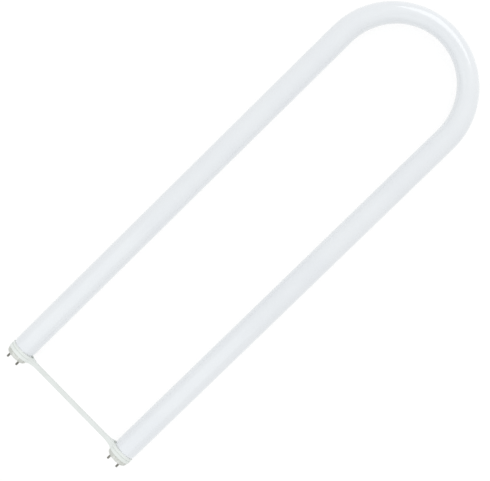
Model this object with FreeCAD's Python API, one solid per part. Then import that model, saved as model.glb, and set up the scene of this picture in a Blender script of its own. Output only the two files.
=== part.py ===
import FreeCAD, Part
import math
import os

from FreeCAD import Vector

# A U-bent fluorescent lamp that lies on its side: legs along Y, bend at +Y, contact pins at -Y.
# The origin is on the surface it lies on, under the middle of its box. Sizes are in millimetres.

# The glass tube
leg_spacing = 152.4
overall_length = 570.5
tube_diameter = 26.0
bend_tube_diameter = 21.4
bend_lead_in = 16.0
bend_sections = 16

# The shrunk end of the glass, inside each cap
glass_end_wall = 1.4
glass_rim_depth = 6.2
glass_rim_rise = 1.2
glass_shoulder_length = 6.5
glass_shoulder_cover = 0.5
glass_shoulder_steps = 5
glass_flare_length = 16.0
glass_flare_steps = 4
glass_rim_steps = 2
stem_bore_diameter = 8.4
stem_depth = 28.0
exhaust_tube_diameter = 3.8
exhaust_tip_depth = 9.4
exhaust_tip_length = 2.2

# The metal cap shell
cap_inset = 0.65
cap_wall = 0.35
cap_depth = 12.4
cap_shoulder_depth = 4.5
cap_end_flat = 1.8
cap_corner_steps = 4

# The cement that bonds the cap to the glass
cement_thickness = 0.9
cement_start = 7.8
cement_length = 3.8

# The insulating disc that carries the pins
insulator_diameter = 17.0
insulator_stand_out = 0.25
insulator_edge_chamfer = 0.2
insulator_flange_thickness = 1.2
insulator_clearance = 0.05
insulator_flange_lip = 0.7

# The contact pins
pin_spacing = 12.7
pin_diameter = 2.35
pin_length = 6.6
pin_tip_length = 0.9
pin_tip_steps = 2
pin_bore_diameter = 1.2
pin_crimp_length = 1.2
pin_shank_diameter = 1.9
pin_head_diameter = 3.8
pin_head_thickness = 0.5

# The lead wires
wire_diameter = 0.6
wire_spacing = 4.8
wire_bend_radius = 12.0

# The moulded brace between the caps
brace_clearance = 0.05
band_wall = 0.7
ring_wall = 0.6
groove_depth = 0.25
groove_width = 0.5
ring_start = 5.3
band_width = 3.6
ring_width = 6.7
ring_edge_chamfer = 0.3
bar_width = 5.3
bar_thickness = 2.8
bar_edge_radius = 0.9
bar_centre = 8.75
root_length = 13.0
root_half_height = 8.6
root_overlap = 2.5
pocket_offset = 2.2
pocket_depth = 1.6
pocket_height = 8.0
pocket_rim = 0.6

# How far a cutting tool reaches past what it cuts
cut_overrun = 1.0

# Places that follow from the sizes above
tube_radius = tube_diameter / 2
cap_radius = tube_radius - cap_inset
neck_radius = cap_radius - cap_wall - cement_thickness
brace_bore_radius = cap_radius + brace_clearance
ring_radius = brace_bore_radius + ring_wall
band_radius = brace_bore_radius + band_wall
ring_end = ring_start + ring_width
collar_reach = brace_bore_radius + pocket_offset + pocket_rim
collar_offset = collar_reach - ring_radius
flare_start = collar_offset + math.sqrt(ring_radius**2 - root_half_height**2)
flare_end = brace_bore_radius + root_length
bend_radius = leg_spacing / 2
bend_centre = overall_length - bend_radius - bend_tube_diameter / 2
leg_end = bend_centre - bend_lead_in
insulator_back = insulator_stand_out + cap_wall + insulator_flange_thickness
pin_back = insulator_back + pin_head_thickness
end_face_y = -(overall_length - pin_length) / 2
axis_z = max(band_radius, ring_radius, tube_radius)


class Outline:
    """Half of a turned part's section: x is the radius, y the depth from the cap's end face."""

    def __init__(self, radius, depth):
        self.first = Vector(radius, depth, 0)
        self.last = self.first
        self.edges = []

    def line(self, radius, depth):
        point = Vector(radius, depth, 0)
        self.edges.append(Part.LineSegment(self.last, point).toShape())
        self.last = point

    def rounded(self, corner, end, steps):
        """A quarter of an ellipse that turns at the corner, in straight steps."""
        corner_point = Vector(corner[0], corner[1], 0)
        end_point = Vector(end[0], end[1], 0)
        centre = self.last + end_point - corner_point
        from_start = self.last - centre
        from_end = end_point - centre
        for step in range(1, steps + 1):
            turn = math.pi / 2 * step / steps
            point = centre + from_start * math.cos(turn) + from_end * math.sin(turn)
            self.line(point.x, point.y)

    def turned(self):
        if self.last.distanceToPoint(self.first) > 1e-7:
            self.line(self.first.x, self.first.y)
        face = Part.Face(Part.Wire(self.edges))
        return face.revolve(Vector(0, 0, 0), Vector(0, 1, 0), 360)


def on_leg(shape, side, across=0):
    """Moves a piece made on the Y axis to a leg, with side -1 for the left one and 1 for the right one."""
    moved = shape.copy()
    moved.translate(Vector(side * leg_spacing / 2 + across, end_face_y, axis_z))
    return moved


def leg_cylinder(radius, start, end, across=0):
    """A cylinder along a leg's axis, between two depths from the cap's end face."""
    return Part.makeCylinder(radius, end - start, Vector(across, start, 0), Vector(0, 1, 0))


def save(name, shape):
    if not shape.isValid() or len(shape.Solids) != 1:
        raise ValueError(f"{name} isn't one valid solid")
    solid = shape.Solids[0]
    solid.exportStep(f"parts/{name}.step")
    print(f"{name}: {solid.Volume / 1000:.3f} cm3, {len(solid.Faces)} faces")


# The glass: each leg is turned, and the bend is a loft through circles that narrow towards its middle
def glass_leg():
    exhaust = exhaust_tube_diameter / 2
    stem = stem_bore_diameter / 2
    rim_back = glass_rim_depth + glass_rim_rise
    rim_inside = neck_radius - glass_end_wall
    rim_middle = neck_radius - glass_end_wall / 2
    shoulder_start = cap_depth - glass_shoulder_cover
    shoulder_end = shoulder_start + glass_shoulder_length
    tip_end = exhaust_tip_depth + exhaust_tip_length
    outline = Outline(0, exhaust_tip_depth)
    outline.rounded((exhaust, exhaust_tip_depth), (exhaust, tip_end), glass_rim_steps)
    outline.line(exhaust, stem_depth)
    outline.line(stem, stem_depth)
    outline.line(stem, rim_back + glass_flare_length)
    outline.rounded((stem, rim_back), (rim_inside, rim_back), glass_flare_steps)
    outline.rounded((rim_inside, glass_rim_depth), (rim_middle, glass_rim_depth), glass_rim_steps)
    outline.rounded((neck_radius, glass_rim_depth), (neck_radius, rim_back), glass_rim_steps)
    outline.line(neck_radius, shoulder_start)
    outline.rounded((tube_radius, shoulder_start), (tube_radius, shoulder_end), glass_shoulder_steps)
    outline.line(tube_radius, leg_end)
    outline.line(0, leg_end)
    return outline.turned()


def bend_circle(share):
    """The tube's section at a share of the way round, from the left leg's end to the right leg's end."""
    path_length = math.pi * bend_radius + 2 * bend_lead_in
    into_bend = share * path_length - bend_lead_in
    past_bend = into_bend - math.pi * bend_radius
    turn = min(max(math.degrees(into_bend / bend_radius), 0), 180)
    narrowing = (1 - math.cos(2 * math.pi * share)) / 2
    radius = tube_radius + (bend_tube_diameter / 2 - tube_radius) * narrowing
    circle = Part.Wire(Part.Circle(Vector(0, 0, 0), Vector(0, 1, 0), radius).toShape())
    circle.translate(Vector(-bend_radius, min(into_bend, 0) + max(past_bend, 0), 0))
    circle.rotate(Vector(0, 0, 0), Vector(0, 0, 1), -turn)
    return circle


def glass_bend():
    sections = [bend_circle(step / bend_sections) for step in range(bend_sections + 1)]
    bend = Part.makeLoft(sections, True, False)
    bend.translate(Vector(0, end_face_y + bend_centre, axis_z))
    return bend


def glass_tube():
    leg = glass_leg()
    return glass_bend().fuse([on_leg(leg, -1), on_leg(leg, 1)])


# The cap: a drawn metal shell, its cement, and the disc with two riveted pins
def cap_shell():
    opening = insulator_diameter / 2 + insulator_clearance
    flat_end = insulator_diameter / 2 + cap_end_flat
    front = insulator_stand_out
    shoulder_end = front + cap_shoulder_depth
    inside = cap_radius - cap_wall
    outline = Outline(opening, front)
    outline.line(flat_end, front)
    outline.rounded((cap_radius, front), (cap_radius, shoulder_end), cap_corner_steps)
    outline.line(cap_radius, cap_depth)
    outline.line(inside, cap_depth)
    outline.line(inside, shoulder_end)
    outline.rounded((inside, front + cap_wall), (flat_end, front + cap_wall), cap_corner_steps)
    outline.line(opening, front + cap_wall)
    return outline.turned()


def cement_ring():
    outline = Outline(neck_radius, cement_start)
    outline.line(neck_radius + cement_thickness, cement_start)
    outline.line(neck_radius + cement_thickness, cement_start + cement_length)
    outline.line(neck_radius, cement_start + cement_length)
    return outline.turned()


def pin_insulator():
    radius = insulator_diameter / 2
    seat = insulator_stand_out + cap_wall
    outline = Outline(0, 0)
    outline.line(radius - insulator_edge_chamfer, 0)
    outline.line(radius, insulator_edge_chamfer)
    outline.line(radius, seat)
    outline.line(radius + insulator_flange_lip, seat)
    outline.line(radius + insulator_flange_lip, insulator_back)
    outline.line(0, insulator_back)
    disc = outline.turned()
    for end in (-1, 1):
        across = end * pin_spacing / 2
        hole = leg_cylinder(pin_shank_diameter / 2, -cut_overrun, insulator_back + cut_overrun, across)
        disc = disc.cut(hole)
    return disc


def contact_pin():
    """A hollow pin, seated on the disc's face, riveted behind it and crimped on its wire at the tip."""
    radius = pin_diameter / 2
    shank = pin_shank_diameter / 2
    wire_radius = wire_diameter / 2
    bore = pin_bore_diameter / 2
    head = pin_head_diameter / 2
    outline = Outline(wire_radius, -pin_length)
    outline.rounded((radius, -pin_length), (radius, -pin_length + pin_tip_length), pin_tip_steps)
    outline.line(radius, 0)
    outline.line(shank, 0)
    outline.line(shank, insulator_back)
    outline.line(head, insulator_back)
    outline.line(shank, pin_back)
    outline.line(bore, pin_back)
    outline.line(bore, -pin_length + pin_crimp_length + bore)
    outline.line(wire_radius, -pin_length + pin_crimp_length)
    return outline.turned()


def lead_wire():
    """From the pressed glass of the stem straight to the back of the pin, then along the pin to its tip."""
    press = Vector(wire_spacing / 2, stem_depth, 0)
    entry = Vector(pin_spacing / 2, pin_back, 0)
    tip = Vector(pin_spacing / 2, -pin_length, 0)
    back = (press - entry).normalize()
    ahead = (tip - entry).normalize()
    half_turn = (math.pi - back.getAngle(ahead)) / 2
    reach = wire_bend_radius * math.tan(half_turn)
    arc_start = entry + back * reach
    arc_end = entry + ahead * reach
    inward = (back + ahead).normalize()
    arc_middle = entry + inward * (wire_bend_radius / math.cos(half_turn) - wire_bend_radius)
    start = press + back * wire_diameter
    path = Part.Wire([
        Part.LineSegment(start, arc_start).toShape(),
        Part.Arc(arc_start, arc_middle, arc_end).toShape(),
        Part.LineSegment(arc_end, tip).toShape(),
    ])
    section = Part.Wire(Part.Circle(start, back, wire_diameter / 2).toShape())
    whole = path.makePipeShell([section], True, False)
    past_press = leg_cylinder(wire_spacing, stem_depth, start.y + wire_diameter)
    return whole.cut(past_press)


# The brace: two grooved oval rings, and a bar whose ends flare into them
def oval_disc(radius, reach, start, end):
    """A disc about the cap's axis, drawn out on the bar's side until it reaches that far from the axis."""
    offset = reach - radius
    top = Vector(0, start, radius)
    bottom = Vector(0, start, -radius)
    top_drawn_out = Vector(offset, start, radius)
    bottom_drawn_out = Vector(offset, start, -radius)
    outline = Part.Wire([
        Part.Arc(top, Vector(-radius, start, 0), bottom).toShape(),
        Part.LineSegment(bottom, bottom_drawn_out).toShape(),
        Part.Arc(bottom_drawn_out, Vector(reach, start, 0), top_drawn_out).toShape(),
        Part.LineSegment(top_drawn_out, top).toShape(),
    ])
    return Part.Face(outline).extrude(Vector(0, end - start, 0))


def rim_edges(shape, depth):
    return [
        edge for edge in shape.Edges
        if abs(edge.BoundBox.YMin - depth) < 1e-6 and abs(edge.BoundBox.YMax - depth) < 1e-6
    ]


def ring_solid():
    """The ring around a cap: a band on the pins' side, a groove, and a collar on the glass side."""
    groove_start = ring_start + band_width
    groove_end = groove_start + groove_width
    band_step = band_wall - ring_wall
    band = oval_disc(band_radius, collar_reach + band_step, ring_start, groove_start)
    band = band.makeChamfer(ring_edge_chamfer, rim_edges(band, ring_start))
    collar = oval_disc(ring_radius, collar_reach, groove_end, ring_end)
    collar = collar.makeChamfer(ring_edge_chamfer, rim_edges(collar, ring_end))
    groove = oval_disc(ring_radius - groove_depth, collar_reach - groove_depth, groove_start, groove_end)
    return groove.fuse([band, collar])


def brace_pocket():
    """The crescent that is cut from the ring's glass side, beside the cap, no higher than the pocket."""
    start = ring_end - pocket_depth
    end = ring_end + cut_overrun
    crescent = leg_cylinder(brace_bore_radius, start, end, pocket_offset)
    half_height = pocket_height / 2
    slot = Part.makeBox(collar_reach, end - start, pocket_height, Vector(0, start, -half_height))
    return crescent.common(slot)


def flare(near, near_offset, far, far_offset):
    """A concave arc that ends along the bar at its far point. Points are given across and off the bar."""
    rise = near_offset - far_offset
    run = far - near
    half_turn = math.atan2(abs(rise), abs(run))
    arc_radius = (run**2 + rise**2) / (2 * abs(rise))
    middle = Vector(
        far - math.copysign(arc_radius * math.sin(half_turn), run),
        far_offset + math.copysign(arc_radius * (1 - math.cos(half_turn)), rise),
        0,
    )
    return Part.Arc(Vector(near, near_offset, 0), middle, Vector(far, far_offset, 0)).toShape()


def beam_outline(low_end, high_end, low_bar, high_bar):
    """The bar's outline from leg to leg: low_bar to high_bar, flaring to the ends' values."""
    end = leg_spacing / 2 - flare_start
    inner_end = end + root_overlap
    bar = leg_spacing / 2 - flare_end
    edges = [
        flare(-end, high_end, -bar, high_bar),
        Part.LineSegment(Vector(-bar, high_bar, 0), Vector(bar, high_bar, 0)).toShape(),
        flare(end, high_end, bar, high_bar),
        Part.makePolygon([Vector(end, high_end, 0), Vector(inner_end, high_end, 0),
                          Vector(inner_end, low_end, 0), Vector(end, low_end, 0)]),
        flare(end, low_end, bar, low_bar),
        Part.LineSegment(Vector(bar, low_bar, 0), Vector(-bar, low_bar, 0)).toShape(),
        flare(-end, low_end, -bar, low_bar),
        Part.makePolygon([Vector(-end, low_end, 0), Vector(-inner_end, low_end, 0),
                          Vector(-inner_end, high_end, 0), Vector(-end, high_end, 0)]),
    ]
    in_order = Part.sortEdges([edge for piece in edges for edge in piece.Edges])[0]
    return Part.Face(Part.Wire(in_order))


def beam():
    """What the outline from above and the outline from the end have in common, with rounded edges."""
    from_above = beam_outline(ring_start, ring_end, bar_centre - bar_width / 2, bar_centre + bar_width / 2)
    from_end = beam_outline(-root_half_height, root_half_height, -bar_thickness / 2, bar_thickness / 2)
    tall = from_above.extrude(Vector(0, 0, 2 * root_half_height))
    tall.translate(Vector(0, 0, -root_half_height))
    from_end.rotate(Vector(0, 0, 0), Vector(1, 0, 0), 90)
    wide = from_end.extrude(Vector(0, -2 * ring_end, 0))
    wide.translate(Vector(0, 2 * ring_end, 0))
    solid = tall.common(wide)
    along = [edge for edge in solid.Edges if edge.BoundBox.XLength > root_overlap / 2]
    return solid.makeFillet(bar_edge_radius, along)


def spacer_brace():
    body = beam()
    cuts = []
    for side in (-1, 1):
        ring = ring_solid()
        bore = leg_cylinder(brace_bore_radius, ring_start - cut_overrun, ring_end + cut_overrun)
        pocket = brace_pocket()
        for piece in (ring, bore, pocket):
            if side > 0:
                piece.rotate(Vector(0, 0, 0), Vector(0, 1, 0), 180)
            piece.translate(Vector(side * leg_spacing / 2, 0, 0))
        body = body.fuse(ring)
        cuts += [bore, pocket]
    body = body.cut(cuts)
    body.translate(Vector(0, end_face_y, axis_z))
    return body


os.makedirs("parts", exist_ok=True)
save("glass_tube", glass_tube())
save("spacer_brace", spacer_brace())
shell = cap_shell()
cement = cement_ring()
insulator = pin_insulator()
pin = contact_pin()
wire = lead_wire()
for side_name, side in (("left", -1), ("right", 1)):
    save(f"{side_name}_cap_shell", on_leg(shell, side))
    save(f"{side_name}_cap_cement", on_leg(cement, side))
    save(f"{side_name}_pin_insulator", on_leg(insulator, side))
    for pin_name, across in (("outer", side), ("inner", -side)):
        turned_wire = wire.copy()
        if across < 0:
            turned_wire = turned_wire.mirror(Vector(0, 0, 0), Vector(1, 0, 0))
        save(f"{side_name}_{pin_name}_pin", on_leg(pin, side, across * pin_spacing / 2))
        save(f"{side_name}_{pin_name}_lead_wire", on_leg(turned_wire, side))
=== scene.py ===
# %% [markdown]
# A U-bent fluorescent lamp, lying flat as it would come to rest: one glass tube bent in the middle, a metal cap with
# two pins on each end, and a moulded brace between the caps. It could be drawn by eye beside its measured solids.
# Here the solids come in first, as a fixed frame, and every piece is built in metres in that same frame, so that
# each one sits where its solid does. The legs run along Y, the bend is at +Y and the pins point to -Y.

import math

import bmesh
import bpy
from mathutils import Matrix, Vector


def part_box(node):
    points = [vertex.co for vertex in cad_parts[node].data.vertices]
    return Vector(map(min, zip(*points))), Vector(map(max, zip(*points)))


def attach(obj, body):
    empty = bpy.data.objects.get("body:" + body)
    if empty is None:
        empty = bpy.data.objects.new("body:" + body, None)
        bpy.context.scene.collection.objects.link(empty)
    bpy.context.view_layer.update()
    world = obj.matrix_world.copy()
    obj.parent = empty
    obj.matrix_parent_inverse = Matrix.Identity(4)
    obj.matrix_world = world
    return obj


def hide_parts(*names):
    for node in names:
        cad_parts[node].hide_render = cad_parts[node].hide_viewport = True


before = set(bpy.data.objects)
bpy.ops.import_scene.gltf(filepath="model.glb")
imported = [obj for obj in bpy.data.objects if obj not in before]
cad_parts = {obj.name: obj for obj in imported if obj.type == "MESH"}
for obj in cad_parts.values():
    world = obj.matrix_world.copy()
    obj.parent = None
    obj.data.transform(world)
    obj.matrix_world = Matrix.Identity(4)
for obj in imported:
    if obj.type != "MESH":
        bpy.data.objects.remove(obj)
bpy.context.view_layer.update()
scene = bpy.context.scene
scene.view_settings.view_transform = "Standard"


# %% [markdown]
# The lamp's main sizes could all be typed in again. Most are read from the solids' boxes instead, so that a piece
# made here always meets the solid beside it. Only what no box shows is written out: how thin the tube gets at the
# top of the bend, and how far down each leg the narrowing begins.

# %% Sizes
low_glass, high_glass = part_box("glass_tube")
low_shell, high_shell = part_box("left_cap_shell")
low_disc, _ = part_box("left_pin_insulator")

cap_x = (low_shell.x + high_shell.x) / 2
leg_spacing = -2 * cap_x
axis_z = (low_shell.z + high_shell.z) / 2
end_face_y = low_disc.y
tube_radius = (high_glass.z - low_glass.z) / 2
bend_radius = leg_spacing / 2
bend_tube_radius = 0.0107
bend_lead_in = 0.016
bend_start = high_glass.y - end_face_y - bend_radius - bend_tube_radius
bend_length = math.pi * bend_radius
whole_length = 2 * bend_start + bend_length
print(f"legs {leg_spacing * 1000:.1f} mm apart, tube {tube_radius * 2000:.1f} mm, axis {axis_z * 1000:.2f} mm up, "
      f"glass {whole_length * 1000:.0f} mm along its middle")

# %% [markdown]
# The photograph looks down on the lamp from a little over a metre and turned by half a right angle, so that the
# lamp lies corner to corner. A camera could be placed by eye. This one was fitted to the edges of the legs, the
# bend, the cap faces and the pins, because a long thin thing shows every degree of error at its far end.

# %% Camera
camera_data = bpy.data.cameras.new("camera")
camera_data.sensor_fit = "HORIZONTAL"
camera_data.sensor_width = 36.0
camera_data.lens = 90.92
camera = bpy.data.objects.new("camera", camera_data)
camera.location = (-0.00311, 0.08822, 1.30584)
camera.rotation_euler = (-0.0636890, 0.0547075, 0.7950515)
scene.collection.objects.link(camera)
scene.camera = camera
print("camera", [round(c, 3) for c in camera.location], "lens", camera_data.lens)

# %% [markdown]
# Every finish and two of the shapes below are trees of nodes. They could be written as long lists of nodes and
# links, but sums are easier to read. `Value` wraps one output of a node, and adding or multiplying values adds the
# Math node that does it. The reflected forms let a plain number come first, as in `1 - mask`.

# %% Sums on node sockets
class Value:
    """One output of a node. Sums on values add Math nodes to its tree."""

    def __init__(self, tree, socket):
        self.tree = tree
        self.socket = socket

    def __add__(self, other):
        return self.tree.maths("ADD", self, other)

    def __radd__(self, other):
        return self.tree.maths("ADD", other, self)

    def __sub__(self, other):
        return self.tree.maths("SUBTRACT", self, other)

    def __rsub__(self, other):
        return self.tree.maths("SUBTRACT", other, self)

    def __mul__(self, other):
        return self.tree.maths("MULTIPLY", self, other)

    def __rmul__(self, other):
        return self.tree.maths("MULTIPLY", other, self)

    def __truediv__(self, other):
        return self.tree.maths("DIVIDE", self, other)

    def __rtruediv__(self, other):
        return self.tree.maths("DIVIDE", other, self)

    def __neg__(self):
        return self.tree.maths("MULTIPLY", self, -1)


print("sums on node sockets ready")

# %% [markdown]
# All other nodes come from one method, `Tree.add`. It takes the node's type, its settings, and what goes into its
# sockets: a plain value is set on the socket, and a `Value` is linked to it. The same class serves materials and
# shapes, so there is only one way of writing to learn. Colours go through a Mix node, because a Math node would
# turn them grey.

# %% One method for all other nodes
class Tree:
    """Adds nodes to a shader or geometry tree."""

    def __init__(self, data):
        self.data = data

    def add(self, kind, settings=None, values=None, output=0):
        node = self.data.nodes.new(kind)
        for name, setting in (settings or {}).items():
            setattr(node, name, setting)
        for name, value in (values or {}).items():
            if isinstance(value, Value):
                self.data.links.new(value.socket, node.inputs[name])
            else:
                node.inputs[name].default_value = value
        return Value(self, node.outputs[output]) if node.outputs else node

    def other(self, value, output):
        """Another output of the node that this value comes from."""
        return Value(self, value.socket.node.outputs[output])

    def maths(self, operation, *values):
        return self.add("ShaderNodeMath", {"operation": operation}, dict(enumerate(values)))

    def mixed(self, share, first, second, blend="MIX"):
        """A colour between two, or one blended with the other."""
        settings = {"data_type": "RGBA", "blend_type": blend}
        factor, first_colour, second_colour, mixed_colour = 0, 6, 7, 2
        values = {factor: share, first_colour: first, second_colour: second}
        return self.add("ShaderNodeMix", settings, values, output=mixed_colour)

    def between(self, value, low, high):
        """The value's place between low and high, from nothing to one, eased and held at the ends."""
        settings = {"interpolation_type": "SMOOTHSTEP"}
        return self.add("ShaderNodeMapRange", settings, {"Value": value, "From Min": low, "From Max": high})


print("node trees ready")

# %% [markdown]
# Each turned piece, and the straight glass too, starts as half of its section: a chain of points, with the radius
# first and the depth from the cap's end face second. A curve object could hold the chain, but its handles are hard
# to give as numbers. Here a corner is a quarter of an ellipse, with enough steps to look smooth. The solids have
# the same corners in a few straight steps.

# %% Section outlines
class Outline:
    """Half of a turned piece's section, as points of radius and depth."""

    def __init__(self, radius, depth):
        self.points = [(radius, depth)]

    def line(self, radius, depth, steps=1):
        start_radius, start_depth = self.points[-1]
        for step in range(1, steps + 1):
            share = step / steps
            self.points.append((start_radius + (radius - start_radius) * share,
                                start_depth + (depth - start_depth) * share))

    def rounded(self, corner, end, steps):
        """A quarter ellipse from the last point to the end, which turns at the corner."""
        start = Vector(self.points[-1])
        centre = start + Vector(end) - Vector(corner)
        for step in range(1, steps + 1):
            turn = math.pi / 2 * step / steps
            point = centre + (start - centre) * math.cos(turn) + (Vector(end) - centre) * math.sin(turn)
            self.points.append((point.x, point.y))

    def as_object(self, name):
        """The outline as an object whose mesh is only this chain of points."""
        mesh = bpy.data.meshes.new(name)
        points = [(radius, depth, 0) for radius, depth in self.points]
        mesh.from_pydata(points, [(i, i + 1) for i in range(len(points) - 1)], [])
        made = bpy.data.objects.new(name, mesh)
        scene.collection.objects.link(made)
        return made


print("section outlines ready")

# %% [markdown]
# The glass, the caps and the pins are outlines that are turned round an axis and then carried to their places. The
# points could be worked out in Python, one by one. Two Geometry Nodes trees do it instead, because their sizes are
# named inputs, which can still be tried out in Blender, and because one tree serves more than one piece.

# %% A geometry tree with named sizes
def geometry_tree(name, sizes):
    """A geometry tree with a named input for each size, and the identifiers of those inputs."""
    data = bpy.data.node_groups.new(name, "GeometryNodeTree")
    data.interface.new_socket("Outline", in_out="INPUT", socket_type="NodeSocketGeometry")
    identifiers = {}
    for size, kind in sizes.items():
        socket = data.interface.new_socket(size, in_out="INPUT", socket_type=kind)
        identifiers[size] = socket.identifier
    data.interface.new_socket("Piece", in_out="OUTPUT", socket_type="NodeSocketGeometry")
    tree = Tree(data)
    return tree, tree.add("NodeGroupInput"), identifiers


print("geometry trees ready")

# %% [markdown]
# Both trees begin alike. A grid gets one row for each point of the outline and one column for each step round the
# axis, and each of its vertices looks up its outline point and works out its angle. A Screw modifier or Spin could
# turn the outline too, but they leave a seam and can turn the shape inside out.

# %% Rings round an axis
def ring_and_turn(tree, outline, steps_round):
    """A grid with a row for each outline point, and for its vertices: radius, depth and angle."""
    rows = tree.add("GeometryNodeAttributeDomainSize", {"component": "MESH"}, {"Geometry": outline})
    columns = steps_round + 1
    grid = tree.add("GeometryNodeMeshGrid", values={"Vertices X": rows, "Vertices Y": columns})
    index = tree.add("GeometryNodeInputIndex")
    row = tree.maths("FLOOR", index / columns)
    place = tree.add("GeometryNodeInputPosition")
    sampled = tree.add("GeometryNodeSampleIndex", {"data_type": "FLOAT_VECTOR", "domain": "POINT"},
                       {"Geometry": outline, "Value": place, "Index": row})
    radius = tree.add("ShaderNodeSeparateXYZ", values={0: sampled})
    depth = tree.other(radius, 1)
    angle = (index - row * columns) * (2 * math.pi) / steps_round
    return grid, radius, depth, angle


print("rings ready")

# %% [markdown]
# Both trees end alike too. Rings that meet at a seam or at a pole are welded, so that the piece is closed, as glass
# and metal are. This could be done by hand in Edit Mode, but it would be lost each time a size changes. Copies are
# made real first, because a copy that only points to its original isn't kept with the finished model.

# %% Close and finish a piece
def finish_tree(tree, geometry, material):
    """Makes instances real, closes seams and poles, sets smooth shading and the material."""
    real = tree.add("GeometryNodeRealizeInstances", values={"Geometry": geometry})
    closed = tree.add("GeometryNodeMergeByDistance", values={"Geometry": real, "Distance": 1e-6})
    smooth = tree.add("GeometryNodeSetShadeSmooth", values={0: closed})
    finished = tree.add("GeometryNodeSetMaterial", values={"Geometry": smooth, "Material": material})
    tree.add("NodeGroupOutput", values={"Piece": finished})


print("closing and finishing ready")

# %% [markdown]
# A modifier that stays on an object is handy while a shape is being tried out. A finished piece is better as a
# plain mesh that anyone can open, so the tree is run once, its result is kept and the modifier is taken off. The
# faces are then turned outwards, and edges sharper than a given angle are kept sharp in the smooth shading.

# %% Run a geometry tree
def point_outwards(mesh):
    shape = bmesh.new()
    shape.from_mesh(mesh)
    bmesh.ops.dissolve_degenerate(shape, edges=shape.edges, dist=1e-7)
    bmesh.ops.recalc_face_normals(shape, faces=shape.faces)
    shape.to_mesh(mesh)
    shape.free()


def run_tree(made, tree, identifiers, sizes, sharp_angle):
    """Runs the tree on an outline object and turns the result into a plain, closed mesh."""
    modifier = made.modifiers.new("shape", "NODES")
    modifier.node_group = tree.data
    for size, value in sizes.items():
        modifier[identifiers[size]] = value
    evaluated = made.evaluated_get(bpy.context.evaluated_depsgraph_get())
    mesh = bpy.data.meshes.new_from_object(evaluated)
    made.modifiers.remove(modifier)
    made.data = mesh
    mesh.name = made.name
    point_outwards(mesh)
    mesh.set_sharp_from_angle(angle=math.radians(sharp_angle))
    triangles = sum(len(face.vertices) - 2 for face in mesh.polygons)
    print(f"{made.name}: {len(mesh.vertices)} vertices, {triangles} triangles")
    return made


print("ready to run geometry trees")

# %% [markdown]
# Behind the lamp everything is white. Strong light could bleach a pale sheet to white, but it would bleach the pale
# lamp too. So the floor and the sky are white only to rays from the camera, from reflections and through clear
# things, which the Light Path node tells apart, and the light on the lamp stays at a plain level.

# %% White where it is seen
def white_where_seen(tree):
    """One for rays from the camera, from reflections and through clear things, and nothing for others."""
    seen = tree.add("ShaderNodeLightPath", output="Is Camera Ray")
    glossy = tree.other(seen, "Is Glossy Ray")
    through = tree.other(seen, "Is Transmission Ray")
    return tree.maths("MINIMUM", seen + glossy + through, 1.0)


print("white where seen ready")

# %% [markdown]
# The lamp lies on a plain pale sheet. With no sheet at all the lamp would seem to float. This one is matt, so that
# it takes the lamp's soft shadow, and mostly plain white where it is seen, so that the shadow stays faint. It lies
# a hair below the lamp.

# %% Pale floor
floor_half_width, floor_gap = 6.0, 0.0003
white_share_of_floor = 0.8


def new_material(name):
    """An empty material and its tree."""
    material = bpy.data.materials.new(name)
    material.use_nodes = True
    material.node_tree.nodes.clear()
    return material, Tree(material.node_tree)


def pale_floor():
    material, tree = new_material("pale_floor")
    matt = tree.add("ShaderNodeBsdfDiffuse", values={"Color": (0.93, 0.93, 0.93, 1)})
    white = tree.add("ShaderNodeEmission", values={"Color": (1, 1, 1, 1), "Strength": 1.06})
    share = white_where_seen(tree) * white_share_of_floor
    floor_look = tree.add("ShaderNodeMixShader", values={0: share, 1: matt, 2: white})
    tree.add("ShaderNodeOutputMaterial", values={"Surface": floor_look})
    return material


def make_floor(half):
    mesh = bpy.data.meshes.new("floor")
    mesh.from_pydata([(-half, -half, 0), (half, -half, 0), (half, half, 0), (-half, half, 0)], [], [(0, 1, 2, 3)])
    floor = bpy.data.objects.new("floor", mesh)
    scene.collection.objects.link(floor)
    mesh.materials.append(pale_floor())
    floor.location.z = -floor_gap


make_floor(floor_half_width)
print(f"floor {floor_half_width * 2:.0f} m wide, {floor_gap * 1000:.1f} mm below the lamp")

# %% [markdown]
# Glass and metal show what is round them. A photographed room could be wrapped round the lamp, but the lamp was
# taken in a white studio, so a plain white sky is closer and simpler. As with the floor, it is full white where it
# is seen, and a little lower where it lights the lamp, so that the lamp's pale colours don't bleach.

# %% White studio all round
world_level = 0.82


def make_world(level):
    world = bpy.data.worlds.new("studio")
    world.use_nodes = True
    world.node_tree.nodes.clear()
    tree = Tree(world.node_tree)
    seen = white_where_seen(tree)
    sky = tree.add("ShaderNodeBackground", values={"Color": (1, 1, 1, 1), "Strength": seen + (1 - seen) * level})
    tree.add("ShaderNodeOutputWorld", values={"Surface": sky})
    scene.world = world


make_world(world_level)
print("sky lights the lamp at", world_level)

# %% [markdown]
# Light from all round shows no form by itself. Two soft boxes add it: a broad one overhead and towards the caps,
# a little cool, and one beyond the bend, which makes the soft highlight that runs round the outer side of the
# bend. A small bare light could show the form too, but its highlight would be a hard thin line. The second box was
# sized and placed until the highlight had the photograph's width, length and place.

# %% Soft boxes
def soft_box(name, power, size, place, aim, along=(1, 0, 0), colour=(1, 1, 1)):
    """A rectangular light at a place, aimed at a point, with its width as near to a direction as it goes."""
    data = bpy.data.lights.new(name, "AREA")
    data.shape = "RECTANGLE"
    data.size, data.size_y = size
    data.energy = power
    data.color = colour
    light = bpy.data.objects.new(name, data)
    back = (Vector(place) - Vector(aim)).normalized()
    up = back.cross(Vector(along)).normalized()
    turned = Matrix((up.cross(back), up, back)).transposed().to_4x4()
    light.matrix_world = Matrix.Translation(place) @ turned
    scene.collection.objects.link(light)
    print(f"{name}: {power} W, {size[0]} by {size[1]} m")


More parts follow.
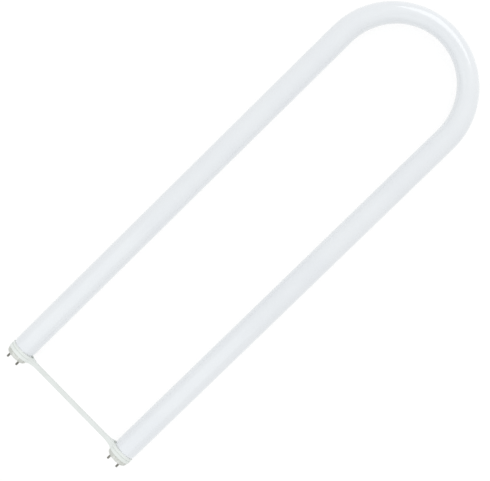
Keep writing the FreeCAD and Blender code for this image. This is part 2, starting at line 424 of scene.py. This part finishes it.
soft_box("overhead", power=5.2, size=(2.6, 1.6), place=(0.0, -0.95, 1.0), aim=(0.0, -0.25, 0.0),
         colour=(0.92, 0.97, 1.0))
soft_box("beyond_bend", power=6.6, size=(0.95, 1.35), place=(-0.18, 1.45, 1.08), aim=(0.0, 0.28, 0.0),
         along=(1.142, 0.779, -0.959))

# %% [markdown]
# A finish is what gives a plain shape its material: a colour that is a little uneven, a gloss that varies, and a
# fine grain. Pictures could be wrapped round each piece, but they blur close up. Here the unevenness is noise on
# the piece's own coordinates, in metres, so that it stays sharp and stays put when the piece is seen from another
# side. What is the same all over is set straight on the shader's sockets.

# %% What every finish is made of
def place_on_piece(tree):
    """Object coordinates, in metres, as one vector."""
    return tree.add("ShaderNodeTexCoord", output="Object")


def noise(tree, where, size, detail, stretch=(1, 1, 1)):
    """Soft noise whose features are about this many metres across, stretched along an axis if asked."""
    scaled = tree.add("ShaderNodeMapping", values={"Vector": where, "Scale": [1 / (size * s) for s in stretch]})
    return tree.add("ShaderNodeTexNoise", values={"Vector": scaled, "Scale": 1.0, "Detail": detail})


def bumped(tree, height, distance, strength):
    """A surface that seems to rise by this many metres where the height is one."""
    return tree.add("ShaderNodeBump", values={"Height": height, "Distance": distance, "Strength": strength})


def shade(tree, looks):
    """One shader with these values and links, joined to the material's output."""
    shader = tree.add("ShaderNodeBsdfPrincipled", values=looks)
    tree.add("ShaderNodeOutputMaterial", values={"Surface": shader})


print("finish helpers ready")

# %% [markdown]
# The glass is coated on the inside with a fine white powder, which is seen through a clear smooth wall. A glass
# shader with a second skin inside would be slow and noisy. A white with a clear coat does the same job: the colour
# is the powder's, a little uneven where it ran thinner, and the sharp gloss and its slight waviness are the glass's.

# %% Coated glass
def coated_glass():
    material, tree = new_material("coated_glass")
    where = place_on_piece(tree)
    cloud = noise(tree, where, size=0.045, detail=3.0)
    grain = noise(tree, where, size=0.0006, detail=4.0)
    smear = noise(tree, where, size=0.012, detail=3.0, stretch=(1, 3, 1))
    wave = noise(tree, where, size=0.022, detail=1.0, stretch=(1, 2.5, 1))
    thin = tree.between(cloud, 0.35, 0.7)
    powder = tree.mixed(thin, (0.785, 0.811, 0.832, 1), (0.763, 0.789, 0.817, 1))
    shade(tree, {
        "Base Color": tree.mixed(tree.between(grain, 0.3, 0.8) * 0.35, powder, (0.730, 0.753, 0.775, 1)),
        "Roughness": 0.2 + smear * 0.1,
        "Normal": bumped(tree, wave, distance=0.00025, strength=0.6),
        "IOR": 1.52, "Coat Weight": 1.0, "Coat Roughness": 0.06})
    return material


glass_finish = coated_glass()
print("coated glass:", len(glass_finish.node_tree.nodes), "nodes")

# %% [markdown]
# The tube starts straight. Each end is heated and sealed to a stem, a smaller tube that goes back inside and holds
# the wires, with the stub of the tube that the air was drawn out through. Then the end is shrunk, so that the cap
# fits over it. The straight parts could be a stretched cylinder with the ends joined on. One outline from the
# stub's tip to the other stub's tip gives a single closed skin with no joint to show at the shoulders.

# %% Straight glass
neck_radius, cap_depth, glass_end_wall = 0.0111, 0.0124, 0.0014
rim_depth, rim_rise, flare_length = 0.0062, 0.0012, 0.016
shoulder_length, shoulder_cover = 0.0065, 0.0007
stem_radius, stem_depth = 0.0042, 0.028
exhaust_radius, exhaust_tip, exhaust_tip_length = 0.0019, 0.0094, 0.0022
tip_steps, flare_steps, rim_steps, shoulder_steps, leg_steps, bend_steps = 6, 8, 4, 14, 18, 92


def glass_end():
    """From the sealed tip of the exhaust stub, inside the stem and over the rim, to the full tube."""
    rim_inside, rim_middle = neck_radius - glass_end_wall, neck_radius - glass_end_wall / 2
    rim_back = rim_depth + rim_rise
    shoulder_start = cap_depth - shoulder_cover
    shoulder_end = shoulder_start + shoulder_length
    end = Outline(0, exhaust_tip)
    end.rounded((exhaust_radius, exhaust_tip), (exhaust_radius, exhaust_tip + exhaust_tip_length), tip_steps)
    end.line(exhaust_radius, stem_depth)
    end.line(stem_radius, stem_depth)
    end.line(stem_radius, rim_back + flare_length)
    end.rounded((stem_radius, rim_back), (rim_inside, rim_back), flare_steps)
    end.rounded((rim_inside, rim_depth), (rim_middle, rim_depth), rim_steps)
    end.rounded((neck_radius, rim_depth), (neck_radius, rim_back), rim_steps)
    end.line(neck_radius, shoulder_start)
    end.rounded((tube_radius, shoulder_start), (tube_radius, shoulder_end), shoulder_steps)
    return end


def straight_glass():
    """Both ends and the tube between them, with enough rings where it will be bent."""
    whole = glass_end()
    end_points = list(whole.points)
    narrowing_start = bend_start - bend_lead_in
    whole.line(tube_radius, narrowing_start, leg_steps)
    whole.line(tube_radius, whole_length - narrowing_start, bend_steps)
    whole.line(tube_radius, whole_length - end_points[-1][1], leg_steps)
    whole.points += [(radius, whole_length - depth) for radius, depth in reversed(end_points[:-1])]
    return whole


straight = straight_glass()
print("straight tube:", len(straight.points), "rings")

# %% [markdown]
# The straight tube is then heated in the middle and bent round a former, which stretches it and makes it narrower
# there. A bevelled curve could give the bend, but not the shrunk ends in the same skin. So the tree does as is done
# with the real glass: it carries each point of the straight tube to its place along a leg or round the bend. On the
# way the radius is eased down and up again by one wave of a cosine, so that no edge shows where the bend begins.

# %% Bending tree
def bending_tree():
    number = "NodeSocketFloat"
    tree, sizes, identifiers = geometry_tree("bent glass", {
        "Steps round": "NodeSocketInt", "Leg length": number, "Bend radius": number, "Lead in": number,
        "Narrowing": number, "End face": number, "Axis height": number, "Finish": "NodeSocketMaterial"})
    grid, radius, along, angle = ring_and_turn(tree, sizes, tree.other(sizes, "Steps round"))
    leg, bend = tree.other(sizes, "Leg length"), tree.other(sizes, "Bend radius")
    lead_in = tree.other(sizes, "Lead in")
    into_bend = along - leg
    past_bend = into_bend - bend * math.pi
    turn = tree.maths("MAXIMUM", tree.maths("MINIMUM", into_bend / bend, math.pi), 0.0)
    share = (into_bend + lead_in) / (bend * math.pi + lead_in * 2)
    held_share = tree.maths("MAXIMUM", tree.maths("MINIMUM", share, 1.0), 0.0)
    wave = (1 - tree.maths("COSINE", held_share * (2 * math.pi))) / 2
    squeezed = 1 - wave * tree.other(sizes, "Narrowing")
    outward = bend + radius * squeezed * tree.maths("COSINE", angle)
    up = radius * squeezed * tree.maths("SINE", angle)
    on_leg = tree.maths("MINIMUM", into_bend, 0.0) - tree.maths("MAXIMUM", past_bend, 0.0)
    place = tree.add("ShaderNodeCombineXYZ", values={
        0: -(outward * tree.maths("COSINE", turn)),
        1: tree.other(sizes, "End face") + leg + outward * tree.maths("SINE", turn) + on_leg,
        2: tree.other(sizes, "Axis height") + up})
    bent = tree.add("GeometryNodeSetPosition", values={"Geometry": grid, "Position": place})
    finish_tree(tree, bent, tree.other(sizes, "Finish"))
    return tree, identifiers


bend_tree, bend_identifiers = bending_tree()
print("bending tree:", len(bend_tree.data.nodes), "nodes")

# %% [markdown]
# Now the tree is run on the straight outline with this lamp's sizes. The steps round the tube could be fewer,
# but a clear coat shows every flat as a kink in its highlight, and 64 steps look round from any side. The piece
# then stands in for the glass's solid, in the same place and on the same body.

# %% Bend the glass
bent_glass = run_tree(straight.as_object("bent_glass"), bend_tree, bend_identifiers, {
    "Steps round": 64, "Leg length": bend_start, "Bend radius": bend_radius, "Lead in": bend_lead_in,
    "Narrowing": 1 - bend_tube_radius / tube_radius, "End face": end_face_y, "Axis height": axis_z,
    "Finish": glass_finish}, sharp_angle=50)
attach(bent_glass, "root")
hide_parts("glass_tube")

# %% [markdown]
# The caps are drawn from thin aluminium sheet and the pins from brass tube, so both are round about an axis along
# Y. They could be made once and copied by hand, or with an Array and a Mirror. One tree does it for both kinds: it
# turns an outline and repeats it, once on each leg for the caps, or as a pair on each leg for the pins.

# %% Turning tree
def turning_tree():
    number = "NodeSocketFloat"
    tree, sizes, identifiers = geometry_tree("turned on each leg", {
        "Steps round": "NodeSocketInt", "Pieces on a leg": "NodeSocketInt", "Pair spacing": number,
        "Leg spacing": number, "End face": number, "Axis height": number, "Finish": "NodeSocketMaterial"})
    grid, radius, depth, angle = ring_and_turn(tree, sizes, tree.other(sizes, "Steps round"))
    place = tree.add("ShaderNodeCombineXYZ", values={
        0: radius * tree.maths("COSINE", angle),
        1: tree.other(sizes, "End face") + depth,
        2: tree.other(sizes, "Axis height") + radius * tree.maths("SINE", angle)})
    turned = tree.add("GeometryNodeSetPosition", values={"Geometry": grid, "Position": place})
    on_leg = tree.other(sizes, "Pieces on a leg")
    index = tree.add("GeometryNodeInputIndex")
    leg = tree.maths("FLOOR", index / on_leg)
    in_pair = index - leg * on_leg
    across = (leg - 0.5) * tree.other(sizes, "Leg spacing")
    across = across + (in_pair - (on_leg - 1) / 2) * tree.other(sizes, "Pair spacing")
    seats = tree.add("GeometryNodePoints", values={
        "Count": on_leg * 2, "Position": tree.add("ShaderNodeCombineXYZ", values={0: across})})
    copies = tree.add("GeometryNodeInstanceOnPoints", values={"Points": seats, "Instance": turned})
    finish_tree(tree, copies, tree.other(sizes, "Finish"))
    return tree, identifiers


turn_tree, turn_identifiers = turning_tree()
print("turning tree:", len(turn_tree.data.nodes), "nodes")

# %% [markdown]
# Caps and pins differ in their outline, their finish and their number on a leg. The steps for each could be
# written out twice. One function takes what differs, and keeps what is the same: the legs' spacing, the axis, and
# standing in for the solids of the same pieces.

# %% Turned pieces on both legs
def turned_pieces(name, outline, finish, nodes, steps_round, pair_spacing=0.0):
    """An outline turned and repeated on both legs, in place of the named solids."""
    sizes = {"Steps round": steps_round, "Pieces on a leg": len(nodes) // 2, "Pair spacing": pair_spacing,
             "Leg spacing": leg_spacing, "End face": end_face_y, "Axis height": axis_z, "Finish": finish}
    made = run_tree(outline.as_object(name), turn_tree, turn_identifiers, sizes, sharp_angle=30)
    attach(made, "root")
    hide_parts(*nodes)


print("ready to turn caps and pins")

# %% [markdown]
# Drawn aluminium keeps very fine rings from the tool. It dulls to a soft grey, patchy and with a hint of olive
# where the sealing heat has stained it. At the mouth's edge it is painted paler and less metallic, a painted light
# that lifts the shade in the joint. The rings could be cut into the shape, but they are finer than a hair. They
# follow the round of each cap, so the pattern reads the distance from the cap's axis, which is worked out from the
# coordinates.

# %% Cap metal
lines_per_metre = 9000
mouth_y = end_face_y + cap_depth


def about_cap_axis(tree, where):
    """The distance from the nearer cap's axis and the place along it, in metres."""
    across = tree.add("ShaderNodeSeparateXYZ", values={0: where})
    off_axis = tree.maths("ABSOLUTE", across) - leg_spacing / 2
    height = tree.other(across, 2) - axis_z
    distance = tree.maths("SQRT", off_axis * off_axis + height * height)
    return distance, tree.other(across, 1)


def cap_metal():
    material, tree = new_material("cap_metal")
    where = place_on_piece(tree)
    distance, along = about_cap_axis(tree, where)
    rings = tree.add("ShaderNodeCombineXYZ", values={
        0: distance * lines_per_metre, 1: along * lines_per_metre, 2: 0.0})
    lines = tree.add("ShaderNodeTexNoise", values={"Vector": rings, "Scale": 1.0, "Detail": 3.0})
    stain = noise(tree, where, size=0.0026, detail=3.0, stretch=(1, 1.6, 1))
    bare = tree.mixed(tree.between(stain, 0.33, 0.69), (0.685, 0.695, 0.665, 1), (0.53, 0.545, 0.50, 1))
    lined = tree.mixed(tree.between(lines, 0.3, 0.75) * 0.4, bare, (0.68, 0.69, 0.67, 1))
    # Painted light: near the mouth the metal is made paler and less metallic, to lift the shade in the joint.
    painted_light_at_mouth = tree.between(along, mouth_y - 0.0012, mouth_y - 0.0005)
    shade(tree, {
        "Base Color": tree.mixed(painted_light_at_mouth * 0.9, lined, (0.95, 0.96, 0.96, 1)),
        "Metallic": 0.6 - painted_light_at_mouth * 0.5,
        "Roughness": 0.48 + lines * 0.12 + stain * 0.12,
        "Normal": bumped(tree, lines, distance=0.00003, strength=0.5)})
    return material


cap_finish = cap_metal()
print("cap metal:", len(cap_finish.node_tree.nodes), "nodes")

# %% [markdown]
# A cap is a thin cup with a hole in its end for the disc that carries the pins. It could be a cylinder with a
# Bevel and a Solidify modifier. Drawn as an outline, its wall keeps one thickness round the corner, the corner has
# the blunt round that drawing gives it, and the open edge gets the small round of a trimmed sheet.

# %% Cap shells
cap_radius, cap_wall, stand_out, shoulder_depth = (high_shell.z - low_shell.z) / 2, 0.00035, 0.00025, 0.0045
opening_radius, flat_end_radius = 0.00855, 0.0103
corner_steps, edge_steps, wall_steps = 14, 4, 3


def shell_outline():
    """The drawn shell's wall, rounded at its end, with a small round on the open edge."""
    shoulder_end, inside, edge = stand_out + shoulder_depth, cap_radius - cap_wall, cap_wall / 2
    end_inside = stand_out + cap_wall
    shell = Outline(opening_radius, stand_out)
    shell.line(flat_end_radius, stand_out)
    shell.rounded((cap_radius, stand_out), (cap_radius, shoulder_end), corner_steps)
    shell.line(cap_radius, cap_depth - edge, wall_steps)
    shell.rounded((cap_radius, cap_depth), (cap_radius - edge, cap_depth), edge_steps)
    shell.rounded((inside, cap_depth), (inside, cap_depth - edge), edge_steps)
    shell.line(inside, shoulder_end, wall_steps)
    shell.rounded((inside, end_inside), (flat_end_radius, end_inside), corner_steps)
    shell.line(opening_radius, end_inside)
    shell.line(opening_radius, stand_out)
    return shell


turned_pieces("cap_shells", shell_outline(), cap_finish, ["left_cap_shell", "right_cap_shell"],
              steps_round=96)

# %% [markdown]
# The brass is dark and olive, partly the tarnish of the sealing fires and partly painted shade for the pins' shadow
# and dark reflections. It is brighter where it has been rubbed, in fine lines along the pin, and paler near the disc.
# A plain dark metal could pass at this size, but the pins are the darkest things on the lamp and draw the eye, so
# they get scorched patches and drawn lines of their own.

# %% Pin brass
def pin_brass():
    material, tree = new_material("contact_brass")
    where = place_on_piece(tree)
    scorch = noise(tree, where, size=0.0022, detail=4.0)
    drawn = noise(tree, where, size=0.00018, detail=2.0, stretch=(1, 14, 1))
    along = tree.add("ShaderNodeSeparateXYZ", values={0: where}, output=1)
    root = tree.between(along, end_face_y - 0.004, end_face_y - 0.0005)
    # Painted shade: the brass colours are this dark partly for the pins' shadow and dark reflections.
    tarnish_and_shade = tree.mixed(tree.between(scorch, 0.35, 0.7), (0.225, 0.22, 0.195, 1), (0.14, 0.138, 0.122, 1))
    rubbed = tree.mixed(tree.between(drawn, 0.5, 0.8) * 0.35, tarnish_and_shade, (0.37, 0.35, 0.30, 1))
    shade(tree, {
        "Base Color": tree.mixed(root * 0.5, rubbed, (0.46, 0.45, 0.40, 1)),
        "Metallic": 1.0,
        "Roughness": 0.26 + scorch * 0.18,
        "Normal": bumped(tree, drawn, distance=0.00002, strength=0.5)})
    return material


brass_finish = pin_brass()
print("pin brass:", len(brass_finish.node_tree.nodes), "nodes")

# %% [markdown]
# The pins are hollow. Each is pushed on to its lead wire, riveted behind the disc and crimped on the wire at its
# tip. A capped cylinder would look the same from afar. The outline gives the rounded tip, the shank through the
# disc, the rivet's head and the bore, so that a pin is still right when it is taken out. The tree sets a pair of
# them on each leg.

# %% Contact pins
low_pin, high_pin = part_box("left_outer_pin")
low_inner_pin, high_inner_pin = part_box("left_inner_pin")
pin_spacing = abs((low_pin.x + high_pin.x) - (low_inner_pin.x + high_inner_pin.x)) / 2
pin_radius, shank_radius, bore_radius, wire_radius = 0.001175, 0.00095, 0.0006, 0.0003
pin_length, tip_length, crimp_length = end_face_y - low_pin.y, 0.0009, 0.0012
disc_back, pin_back, head_radius = 0.0018, 0.0023, 0.0019
round_tip_steps = 9


def pin_outline():
    """From the wire's hole at the tip, over the pin to its rivet's head, and back down the bore."""
    pin = Outline(wire_radius, -pin_length)
    pin.rounded((pin_radius, -pin_length), (pin_radius, -pin_length + tip_length), round_tip_steps)
    pin.line(pin_radius, 0)
    pin.line(shank_radius, 0)
    pin.line(shank_radius, disc_back)
    pin.line(head_radius, disc_back)
    pin.line(shank_radius, pin_back)
    pin.line(bore_radius, pin_back)
    pin.line(bore_radius, -pin_length + crimp_length + bore_radius)
    pin.line(wire_radius, -pin_length + crimp_length)
    pin.line(wire_radius, -pin_length)
    return pin


pin_nodes = [f"{side}_{place}_pin" for side in ("left", "right") for place in ("outer", "inner")]
turned_pieces("contact_pins", pin_outline(), brass_finish, pin_nodes, steps_round=40,
              pair_spacing=pin_spacing)
print(f"pins {pin_spacing * 1000:.2f} mm apart, {pin_length * 1000:.2f} mm long")

# %% [markdown]
# The brace is moulded in one piece from a pale, slightly greenish plastic. It has faint clouds and the fine dull
# grain that a mould leaves. The groove round each ring is painted darker, a painted shade. The bar, away from the
# caps, is painted a shade darker than the rings, also a painted shade, which stands in for the light that the plastic
# lets through over the caps. That light could really be rendered, but it takes long and can't be kept with the model.

# %% Brace plastic
ring_start, band_width, groove_width = 0.0053, 0.0036, 0.0005
groove_y = end_face_y + ring_start + band_width + groove_width / 2
bar_end_x, ring_side_x = 0.048, 0.066


def brace_plastic():
    material, tree = new_material("brace_plastic")
    where = place_on_piece(tree)
    cloud = noise(tree, where, size=0.014, detail=3.0)
    grain = noise(tree, where, size=0.00035, detail=3.0)
    across = tree.add("ShaderNodeSeparateXYZ", values={0: where})
    along = tree.other(across, 1)
    on_ring = tree.between(tree.maths("ABSOLUTE", across), bar_end_x, ring_side_x)
    off_groove = tree.maths("ABSOLUTE", along - groove_y)
    # Painted shade: the groove round each ring is darkened.
    groove_shade = 1 - tree.between(off_groove, 0.0001, 0.0004)
    moulded = tree.mixed(tree.between(cloud, 0.35, 0.7), (0.79, 0.825, 0.80, 1), (0.76, 0.795, 0.765, 1))
    # Painted shade: the bar, away from the rings, is multiplied a shade darker.
    moulded = tree.mixed(1 - on_ring, moulded, (0.94, 0.935, 0.94, 1), "MULTIPLY")
    shade(tree, {
        "Base Color": tree.mixed(groove_shade * on_ring * 0.15, moulded, (0.42, 0.44, 0.41, 1)),
        "Roughness": 0.36 + grain * 0.16,
        "Normal": bumped(tree, grain, distance=0.00004, strength=0.5)})
    return material


brace_finish = brace_plastic()
print("brace plastic:", len(brace_finish.node_tree.nodes), "nodes")

# %% [markdown]
# The disc that carries the pins is pressed from resin and fibre, dull, olive and speckled. Its fibres could be
# drawn one by one, but only their speckle shows, so a noise that is stretched one way stands for them.

# %% Insulator board
def insulator_board():
    material, tree = new_material("insulator_board")
    where = place_on_piece(tree)
    fibre = noise(tree, where, size=0.0007, detail=4.0, stretch=(3, 1, 1))
    speck = noise(tree, where, size=0.0022, detail=3.0)
    base = tree.mixed(tree.between(speck, 0.35, 0.7), (0.36, 0.37, 0.31, 1), (0.27, 0.275, 0.225, 1))
    shade(tree, {
        "Base Color": tree.mixed(tree.between(fibre, 0.45, 0.8) * 0.5, base, (0.45, 0.455, 0.39, 1)),
        "Roughness": 0.52 + fibre * 0.2,
        "Normal": bumped(tree, fibre, distance=0.00005, strength=0.6)})
    return material


board_finish = insulator_board()
print("insulator board:", len(board_finish.node_tree.nodes), "nodes")

# %% [markdown]
# Cement holds each cap on the glass. It is a gritty paste that is baked hard, browner where the oven was hotter. It
# is inside the cap, where a plain colour would do, but anyone who takes a cap off will look at it closely, so the
# grit gets a noise of its own and is raised a little.

# %% Cap cement
def cap_cement():
    material, tree = new_material("cement")
    where = place_on_piece(tree)
    grit = noise(tree, where, size=0.0006, detail=5.0)
    bake = noise(tree, where, size=0.006, detail=2.0)
    base = tree.mixed(tree.between(bake, 0.35, 0.7), (0.76, 0.71, 0.62, 1), (0.66, 0.60, 0.50, 1))
    shade(tree, {
        "Base Color": tree.mixed(tree.between(grit, 0.5, 0.75) * 0.6, base, (0.84, 0.80, 0.72, 1)),
        "Roughness": 0.74 + grit * 0.2,
        "Normal": bumped(tree, grit, distance=0.0001, strength=0.8)})
    return material


cement_finish = cap_cement()
print("cement:", len(cement_finish.node_tree.nodes), "nodes")

# %% [markdown]
# The lead wires are drawn copper, which tarnishes brown in patches and shows fine lines along its length. They
# could share the pins' brass, but copper is redder, and the ends of the wires are seen in the pins' tips.

# %% Lead copper
def lead_copper():
    material, tree = new_material("lead_copper")
    where = place_on_piece(tree)
    drawn = noise(tree, where, size=0.0001, detail=2.0, stretch=(1, 20, 1))
    tarnish = noise(tree, where, size=0.003, detail=3.0)
    shade(tree, {
        "Base Color": tree.mixed(tree.between(tarnish, 0.4, 0.7), (0.72, 0.45, 0.30, 1), (0.42, 0.24, 0.15, 1)),
        "Metallic": 1.0,
        "Roughness": 0.24 + drawn * 0.14,
        "Normal": bumped(tree, drawn, distance=0.00001, strength=0.4)})
    return material


copper_finish = lead_copper()
print("lead copper:", len(copper_finish.node_tree.nodes), "nodes")

# %% [markdown]
# The brace, the discs, the cement and the wires could be drawn again here, as the glass, the caps and the pins are.
# Their solids already have every form that shows: grooved rings, crescent pockets, the bar's flared roots. So the
# solids themselves are shown, each with its finish in its own material slot.

# %% Show the other solids
def show_solid(node, finish):
    """A solid that stays in view takes a finish in its own material slots."""
    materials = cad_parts[node].data.materials
    for i in range(len(materials)):
        materials[i] = finish


show_solid("spacer_brace", brace_finish)
for side in ("left", "right"):
    show_solid(f"{side}_pin_insulator", board_finish)
    show_solid(f"{side}_cap_cement", cement_finish)
    for place in ("outer", "inner"):
        show_solid(f"{side}_{place}_lead_wire", copper_finish)
print("solids shown with a finish:", sum(not o.hide_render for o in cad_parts.values()))
